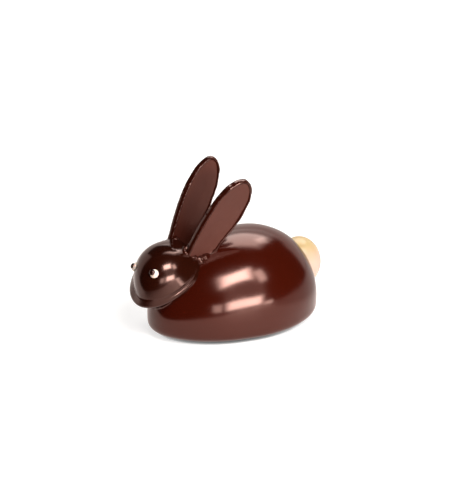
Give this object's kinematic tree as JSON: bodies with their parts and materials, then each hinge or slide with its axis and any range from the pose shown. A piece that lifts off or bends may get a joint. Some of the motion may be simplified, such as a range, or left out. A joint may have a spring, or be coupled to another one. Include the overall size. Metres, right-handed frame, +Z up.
{
  "type": "dark chocolate bunny",
  "caption": "Crouching bunny of dark chocolate with an egg-shaped body, a half-egg head, leaf-shaped ears, bead eyes and a white chocolate tail.",
  "frame": {"origin": "middle of the body's flat base, on the surface that the bunny stands on", "axes": "+Z up, the bunny looks along -X with its tail at +X, and its left side is at -Y"},
  "size_m": [0.1266, 0.078, 0.0979],
  "materials": {
    "dark_chocolate": "glossy moulded dark chocolate",
    "ear_chocolate": "satin poured dark chocolate",
    "white_chocolate": "satin moulded white chocolate",
    "eye_white": "piped white chocolate",
    "pupil_chocolate": "glossy piped dark chocolate"
  },
  "bodies": {
    "root": {"body": "dark_chocolate", "head": "dark_chocolate", "ear_left": "ear_chocolate", "ear_right": "ear_chocolate", "tail": "white_chocolate", "eye_left": "eye_white", "eye_right": "eye_white", "pupil_left": "pupil_chocolate", "pupil_right": "pupil_chocolate"}
  },
  "joints": []
}
